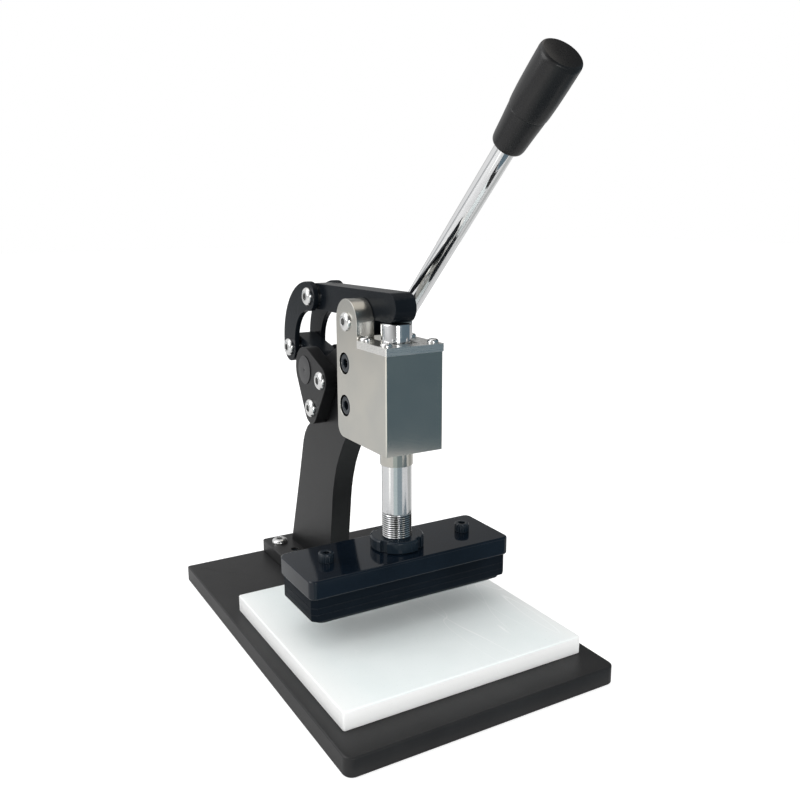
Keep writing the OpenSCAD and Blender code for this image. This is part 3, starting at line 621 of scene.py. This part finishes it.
# %% Ram
PITCH, CUT, RUN_OUT = 1.5, 0.9, 97.5
LEVELS_PER_PITCH = 9
SHANK_LEVELS = [RUN_OUT + 2.2, 120, 160, 200]
TOP_DROP, TOP_EASE = np.array([1.1, 0.7, 0.3, 0.0]), [0, 0.08, 0.35, 1.0]
# How the painted shade in the thread's roots grows with the groove's depth.
ROOT_SHADE_RISE, ROOT_SHADE_START = 1.3, 0.2
low, high = (np.array(corner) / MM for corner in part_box("ram"))
middle = (low + high) / 2
ram_r = (high[0] - low[0]) / 2
thread = np.arange(low[2] + 1, RUN_OUT + PITCH, PITCH / LEVELS_PER_PITCH)
levels = np.concatenate([thread, SHANK_LEVELS, high[2] - TOP_DROP])
around = np.linspace(0, TURN, 120, endpoint=False)
phase = np.mod(levels[:, None] / PITCH - around[None, :] / TURN, 1.0)
fade = np.clip((RUN_OUT - levels) / PITCH + 0.5, 0, 1)[:, None]
groove = CUT * (1 - np.abs(2 * phase - 1)) * fade
ease = np.interp(levels, high[2] - TOP_DROP, TOP_EASE)
reach = ram_r - groove - ease[:, None]
# The share of painted shade in the thread's roots.
root_shade = np.clip(ROOT_SHADE_RISE * groove / CUT - ROOT_SHADE_START, 0, 1)
height = np.broadcast_to(levels[:, None], reach.shape)
x, y = reach * np.cos(around) + middle[0], reach * np.sin(around) + middle[1]
ram = np.stack([x * MM, y * MM, height * MM, root_shade], axis=-1)
stands_for(skin("ram_threaded", [ram], sharp=50.0), "ram")

# %% [markdown]
# ## Handle
# A chromed rod is screwed into the hub and carries a moulded grip. The grip narrows towards its foot, has a
# moulded ring less than half way up and a softly domed end. Both are turned shapes along the handle's lean.
# A bevelled cylinder would do for the rod, but the grip's swelling line needs a profile, so both have one.

# %% Handle
LEAN = np.radians(46.9)
GRIP_START = 222
ROD_R, ROD_START, ROD_END = 6.5, 10.5, 262
GRIP_LINE = [
    (0, 0.5), (6.9, 0.5), (8.2, 0.0), (9.6, 0.6), (10.2, 2.0), (10.5, 4.5), (11.1, 14), (11.65, 21),
    (11.9, 25.3), (11.78, 25.7), (12.2, 26.2), (12.45, 29), (12.78, 36), (12.95, 45), (13.0, 52),
    (13.0, 61.0), (12.6, 62.6), (11.5, 63.35), (7.0, 63.8), (0, 63.95)]
GRIP_EASE = [0, 0.3, 0.6, 0.7, 0.8, 1.2, 1.5, 1.5, 0.15, 0.12, 0.2, 1.5, 3, 4, 3, 0.7, 0.5, 0.4, 2.5, 0]


def rounded(points, reach, steps=5, loop=False):
    """A line whose corners are eased: corner B becomes (1-t)^2 A + 2t(1-t) B + t^2 C, where A and C lie
    `reach` before and after it on the line."""
    p = np.asarray(points, float)
    back = np.roll(p, 1, axis=0) - p
    on = np.roll(p, -1, axis=0) - p
    far = np.broadcast_to(np.asarray(reach, float), len(p))[:, None]
    a = p + far * back / np.linalg.norm(back, axis=1, keepdims=True)
    c = p + far * on / np.linalg.norm(on, axis=1, keepdims=True)
    t = np.linspace(0, 1, steps)[None, :, None]
    curve = (1 - t) ** 2 * a[:, None] + 2 * t * (1 - t) * p[:, None] + t ** 2 * c[:, None]
    if loop:
        return curve.reshape(-1, p.shape[1])
    return np.concatenate([p[:1], curve[1:-1].reshape(-1, p.shape[1]), p[-1:]])


def turned(profile, count=96):
    """Rings of a turned shape: each profile point (radius, height) is carried once around +Z."""
    r, z = np.asarray(profile, float).T
    around = np.linspace(0, TURN, count, endpoint=False)
    flat = np.ones(count)
    return np.stack([np.outer(r, np.cos(around)), np.outer(r, np.sin(around)), np.outer(z, flat)], axis=-1)


shaft = JOINT["handle_turn"]
low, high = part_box("handle_rod")
root = ((low.x + high.x) / 2, shaft[1], shaft[2])
way = (0, -np.sin(LEAN), np.cos(LEAN))
rod_line = [(0, ROD_START), (ROD_R - 0.5, ROD_START), (ROD_R, ROD_START + 0.5), (ROD_R, ROD_END - 0.5),
            (ROD_R - 0.5, ROD_END), (0, ROD_END)]
rod_profile = rounded(rod_line, [0, 0.3, 0.3, 0.3, 0.3, 0])
stands_for(skin("handle_rod_chromed", [aimed(turned(rod_profile * MM, 128), root, way)]), "handle_rod")
grip_profile = rounded(GRIP_LINE, GRIP_EASE, 7) + [0, GRIP_START]
stands_for(skin("grip_moulded", [aimed(turned(grip_profile * MM, 128), root, way)], sharp=60.0), "grip")

# %% [markdown]
# ## Shaft, bush and spring
# The main shaft is turned, with a thin head at its left end and a centre-drill mark in both ends. The guide
# bush is turned as well, and its thin neck stands out below the block. The return spring is a wire carried
# along a helix; the real one is squeezed as the ram comes down, while this one keeps its shape. A curve with
# a round bevel would give such a wire too, but a formula lets its first and last turns lie flat.

# %% Main shaft
SHAFT_R = 9.0
low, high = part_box("main_shaft")
length, head_r = (high.x - low.x) / MM, (high.z - low.z) / 2 / MM
left_end = [(0, 1.6), (1.1, 0.9), (1.8, 0.6), (head_r - 0.25, 0.6), (head_r, 0.8), (head_r, 1), (SHAFT_R, 1)]
right_end = [(SHAFT_R, length - 0.8), (SHAFT_R - 0.8, length), (2.2, length), (1.3, length - 0.9),
             (0, length - 1.9)]
shaft_profile = rounded(left_end + right_end, 0.08, 3)
shaft_rings = aimed(turned(shaft_profile * MM), (low.x, shaft[1], shaft[2]), (1, 0, 0))
stands_for(skin("main_shaft_turned", [shaft_rings]), "main_shaft")

# %% Guide bush
WALL, NECK_STEP = 2.95, 2.15
low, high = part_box("lower_bush")
bush_r, block_floor = (high.x - low.x) / 2 / MM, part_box("guide_block")[0].z / MM
bore, neck, neck_end, bush_top = bush_r - WALL, bush_r - NECK_STEP, low.z / MM, high.z / MM
bush_profile = rounded([(bore, neck_end), (neck, neck_end), (neck, block_floor), (bush_r, block_floor),
                        (bush_r, bush_top), (bore, bush_top)], 0.2, 4, loop=True)
bush = aimed(turned(bush_profile * MM, 120), ((low.x + high.x) / 2, (low.y + high.y) / 2, 0), UP)
stands_for(skin("lower_bush_turned", [bush], loop=True), "lower_bush")

# %% Return spring
WIRE_R, TURNS, CLOSED = 1.1, 7.0, 0.75
WIRE_STEPS, WIRE_SIDES = 420, 14
low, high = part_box("return_spring")
coil_r = (high.x - low.x) / 2 / MM - WIRE_R
bottom, height = low.z / MM + WIRE_R, (high.z - low.z) / MM - 2 * WIRE_R
t = np.linspace(0, 1, WIRE_STEPS)
rise = np.clip((t * TURNS - CLOSED) / (TURNS - 2 * CLOSED), 0, 1)
spin = TURN * TURNS * t
outward = np.column_stack([np.cos(spin), np.sin(spin), np.zeros(len(t))])
path = coil_r * outward + np.column_stack([np.zeros((len(t), 2)), bottom + height * rise])
tangent = np.gradient(path, axis=0)
tangent /= np.linalg.norm(tangent, axis=1, keepdims=True)
across = np.cross(tangent, outward)
ring = np.linspace(0, TURN, WIRE_SIDES, endpoint=False)[None, :, None]
tube = path[:, None] + WIRE_R * (np.cos(ring) * outward[:, None] + np.sin(ring) * across[:, None])
tube = tube * MM + np.array([(low.x + high.x) / 2, (low.y + high.y) / 2, 0])
spring = stands_for(skin("return_spring_wire", [tube]), "return_spring")
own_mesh(spring)

# %% [markdown]
# ## Cutting tool
# The cutting rule is a strip of hard steel bent into a ring; its lower edge is ground to a wedge. A rubber
# pad inside the ring and one around it push the cut piece off. All sit in a die board that is glued up from
# three layers. Each is an outline carried through its thickness: the section says how far it is inset at
# which height. Extruding and bevelling could round the edges, but not grind the wedge or cut the seams.


# %% Plates from outlines
def inset(outline, depth):
    """A closed outline moved inwards by `depth` along the mean normal of each corner's two sides."""
    on = np.roll(outline, -1, axis=0) - outline
    normal = np.stack([-on[:, 1], on[:, 0]], axis=1) / np.linalg.norm(on, axis=1, keepdims=True)
    mean = normal + np.roll(normal, 1, axis=0)
    mean /= (mean * normal).sum(axis=1, keepdims=True)
    return outline + depth * mean


def plate(outline, section):
    """Rings of a flat plate: the counter-clockwise outline, inset by d at height z for each (d, z)."""
    return np.stack([np.column_stack([inset(outline, d), np.full(len(outline), z)]) for d, z in section])


def round_rect(wide, deep, r, count=12):
    """A counter-clockwise rectangle with round corners, as points at even angles of each corner."""
    quarter = np.linspace(0, np.pi / 2, count)
    centres = np.array([[1, 1], [-1, 1], [-1, -1], [1, -1]]) * [wide / 2 - r, deep / 2 - r]
    angles = quarter[None, :] + np.arange(4)[:, None] * np.pi / 2
    arcs = np.stack([np.cos(angles), np.sin(angles)], axis=-1) * r
    return (centres[:, None] + arcs).reshape(-1, 2)


# %% Cutting rule
RULE_R, RULE_T = 8.0, 2.0
WEDGE_H, TIP_H = 1.5, 0.15
low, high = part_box("cutting_rule")
rule_size = np.array(high - low) / MM
home = np.array([(low.x + high.x) / 2, (low.y + high.y) / 2, 0])
edge_z, back_z = low.z / MM, high.z / MM
rule_section = [(0, edge_z + WEDGE_H), (0.75, edge_z + TIP_H), (0.95, edge_z), (1.05, edge_z),
                (1.25, edge_z + TIP_H), (RULE_T, edge_z + WEDGE_H), (RULE_T, back_z), (0, back_z)]
rule = plate(round_rect(rule_size[0], rule_size[1], RULE_R), rule_section) * MM + home
stands_for(skin("cutting_rule_ground", [rule], loop=True), "cutting_rule")

# %% Ejector pad
PAD_GAP, PAD_R = 0.1, 6.0
low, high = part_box("ejector_pad")
bottom, lid = low.z / MM, high.z / MM
pad_size = np.array(high - low) / MM
pad_section = [(0.5, bottom), (0.15, bottom + 0.15), (0, bottom + 0.5), (0.12, (bottom + lid) / 2),
               (0, lid - 0.4), (0.15, lid)]
inner = RULE_T + PAD_GAP
core = plate(round_rect(rule_size[0] - 2 * inner, rule_size[1] - 2 * inner, RULE_R - inner), pad_section)
rim_out = plate(round_rect(pad_size[0], pad_size[1], PAD_R), pad_section)
hole = round_rect(rule_size[0] + 2 * PAD_GAP, rule_size[1] + 2 * PAD_GAP, RULE_R + PAD_GAP)
rim_in = plate(hole, [(-d, z) for d, z in pad_section])[::-1]
pads = skin("ejector_pad_core", [core * MM + home])
rim = skin("ejector_pad_rim", [np.concatenate([rim_out, rim_in]) * MM + home], loop=True)
stands_for(pads, "ejector_pad")
stands_for(rim, "ejector_pad")

# %% Die board
CHAMFER, SEAM_DEPTH = 3, 0.2
FIRST_SEAM, SECOND_SEAM = 4.3, 8.7


def seam(z):
    """The section of a thin groove that starts at height z, where two layers meet."""
    return [(0, z), (SEAM_DEPTH, z + 0.15), (SEAM_DEPTH, z + 0.35), (0, z + 0.5)]


low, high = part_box("die_board")
wide, deep = np.array(high - low)[:2] / MM / 2
z, die_top = low.z / MM, high.z / MM
chamfered = [
    (wide - CHAMFER, deep), (CHAMFER - wide, deep), (-wide, deep - CHAMFER), (-wide, CHAMFER - deep),
    (CHAMFER - wide, -deep), (wide - CHAMFER, -deep), (wide, CHAMFER - deep), (wide, deep - CHAMFER)]
foot_edge = [(1.2, z), (0.35, z + 0.1), (0.1, z + 0.35), (0, z + 0.8)]
top_edge = [(0, z + 14.4), (0.15, z + 14.85), (0.5, die_top)]
die_section = foot_edge + seam(z + FIRST_SEAM) + seam(z + SECOND_SEAM) + top_edge
die = plate(rounded(chamfered, 0.5, 4, loop=True), die_section)
stands_for(skin("die_board_layered", [die * MM + home]), "die_board")

# %% [markdown]
# ## Small parts that stay as they are
# Pins, bushes, washers, dowels, the key, the set screw and the spring's collar are plain turned or sawn
# parts, nearly all of them hidden. Their solids keep their shape and only take their finish, because eased
# edges on them would hardly be seen.

# %% Finishes on the solids that stay
for node, obj in NODES.items():
    if not obj.hide_render:
        obj.data.materials.clear()
        obj.data.materials.append(FINISH[SLOT[node]])
        print(node, "keeps its solid with", SLOT[node])

# %% [markdown]
# ## Studio
# A white sweep under soft, even light, as on a packing table. Polished metal needs something to mirror, so
# the room that mirrors see is brighter at the back left than at the front, and a few cards lie and stand in
# it, seen by mirrors alone. The slate ones give the block's front and the press plate their tone, the grey
# and pale ones draw the stripes down the ram, a bright one overhead lights the round tops of the ears, a
# white one lights the block's front edge and a thin far one draws the dark line along the rod. Cards that
# everything sees would also cast shadows, which is why these are kept to the mirrors.


# %% Studio surfaces
def studio_material(name, colour, glow, camera_glow=0.0):
    """A studio surface that takes light and shadow.

    Mirrors see it brighter by the colour `glow`, and the eye by `camera_glow` times that colour.
    """
    material = bpy.data.materials.new(name)
    material.use_nodes = True
    tree = material.node_tree
    shader = tree.nodes["Principled BSDF"]
    shader.inputs["Base Color"].default_value = (*colour, 1)
    shader.inputs["Roughness"].default_value = 0.9
    shader.inputs["Specular IOR Level"].default_value = 0.0
    shader.inputs["Emission Color"].default_value = (*glow, 1)
    ray = put(tree, "ShaderNodeLightPath").outputs
    eye = reckoned(tree, "MULTIPLY", ray["Is Camera Ray"], camera_glow)
    seen = reckoned(tree, "ADD", ray["Is Glossy Ray"], eye)
    tree.links.new(seen, shader.inputs["Emission Strength"])
    return material


def card(name, points, material, mirrors_only=True):
    """A flat four-cornered studio surface."""
    mesh = bpy.data.meshes.new(name)
    mesh.from_pydata(points, [], [(0, 1, 2, 3)])
    mesh.materials.append(material)
    obj = bpy.data.objects.new(name, mesh)
    bpy.context.collection.objects.link(obj)
    obj.visible_camera = not mirrors_only
    obj.visible_diffuse = not mirrors_only
    obj.visible_shadow = not mirrors_only
    return obj


def upright(start, end, bottom, top):
    """The corners of a card that stands over the line from start to end."""
    return [(*start, bottom), (*end, bottom), (*end, top), (*start, top)]


def lying(z, *plan):
    """The corners of a card that lies level at height z."""
    return [(x, y, z) for x, y in plan]


FAR = 6.0
GLOW = {"slate": (0.134, 0.188, 0.224), "grey": (0.28, 0.345, 0.375), "pale": (0.56, 0.64, 0.645),
        "plain": (0.52, 0.53, 0.52), "bright": (1.1, 1.05, 0.98), "white": (1.5, 1.5, 1.45)}
CARD = {name: studio_material(name, (0, 0, 0), glow) for name, glow in GLOW.items()}
sweep = studio_material("floor", (0.66, 0.66, 0.66), (0.03, 0.03, 0.03), 20.0)
card("floor", lying(0, (-FAR, -FAR), (FAR, -FAR), (FAR, FAR), (-FAR, FAR)), sweep, mirrors_only=False)
card("slate_card", upright((-0.05, -0.397), (0.45, -0.042), 0.07, 0.6), CARD["slate"])
card("slate_mat", lying(0.001, (-0.10, -0.15), (0.21, -0.15), (0.21, -0.29), (-0.06, -0.29)), CARD["slate"])
card("grey_mat", lying(0.002, (-0.08, -0.2), (-0.45, -1.0), (0.19, -1.0), (0.035, -0.2)), CARD["grey"])
card("pale_mat", lying(0.003, (-0.14, -0.13), (-0.78, -0.6), (-0.45, -1.0), (-0.08, -0.2)), CARD["pale"])
card("side_mat", lying(0.002, (0.2, -0.1), (0.6, -0.45), (0.7, 0.1), (0.2, 0.0)), CARD["plain"])
card("edge_card", upright((-0.257, -0.146), (-0.223, -0.208), 0.077, 0.175), CARD["white"])
card("stripe_card", upright((-0.29, -0.035), (-0.29, -0.1), 0.01, 0.16), CARD["white"])
card("top_card", lying(1.6, (0.3, -0.65), (0.82, -0.65), (0.82, 0.75), (0.3, 0.75)), CARD["bright"])
card("far_edge", upright((-2.6, 1.4), (0.6, 2.4), 0.08, 0.16), CARD["slate"])

# %% Studio light
BACK_LEFT = (-0.75, 0.6, 0.1)
DIM_SIDE, BRIGHT_SIDE = 0.06, 0.85
DIM_AT, BRIGHT_AT = -0.18, 0.7
EVEN = 0.86


def lamp(name, place, target, size, power):
    """A soft square panel that faces a point."""
    data = bpy.data.lights.new(name, "AREA")
    data.size = size
    data.energy = power
    obj = bpy.data.objects.new(name, data)
    obj.location = place
    obj.rotation_euler = (Vector(target) - Vector(place)).to_track_quat("-Z", "Y").to_euler()
    bpy.context.collection.objects.link(obj)
    return obj


world = bpy.data.worlds.new("studio")
world.use_nodes = True
bpy.context.scene.world = world
tree = world.node_tree
room = tree.nodes["Background"].inputs
ray = put(tree, "ShaderNodeLightPath").outputs
toward = along(tree, put(tree, "ShaderNodeTexCoord").outputs["Generated"], BACK_LEFT)
seen = ranged(tree, toward, DIM_SIDE, BRIGHT_SIDE, DIM_AT, BRIGHT_AT)
mirrored = reckoned(tree, "MULTIPLY", seen, ray["Is Glossy Ray"])
even = ranged(tree, ray["Is Glossy Ray"], EVEN, 0.0, 0.0, 1.0)
lit = reckoned(tree, "ADD", even, mirrored)
tree.links.new(reckoned(tree, "MAXIMUM", lit, ray["Is Camera Ray"]), room["Strength"])
room["Color"].default_value = (1, 1, 1, 1)

lamp("left_panel", (-1.1, 0.3, 0.75), (0, 0, 0.15), 0.9, 6.0)
lamp("top_panel", (-0.3, 0.2, 1.4), (0, 0, 0.1), 1.1, 3.0)
lamp("front_panel", (-0.25, -1.3, 0.35), (0, -0.05, 0.03), 0.5, 6.0)
bpy.context.scene.view_settings.view_transform = "Standard"
print("lamps:", len(bpy.data.lights))
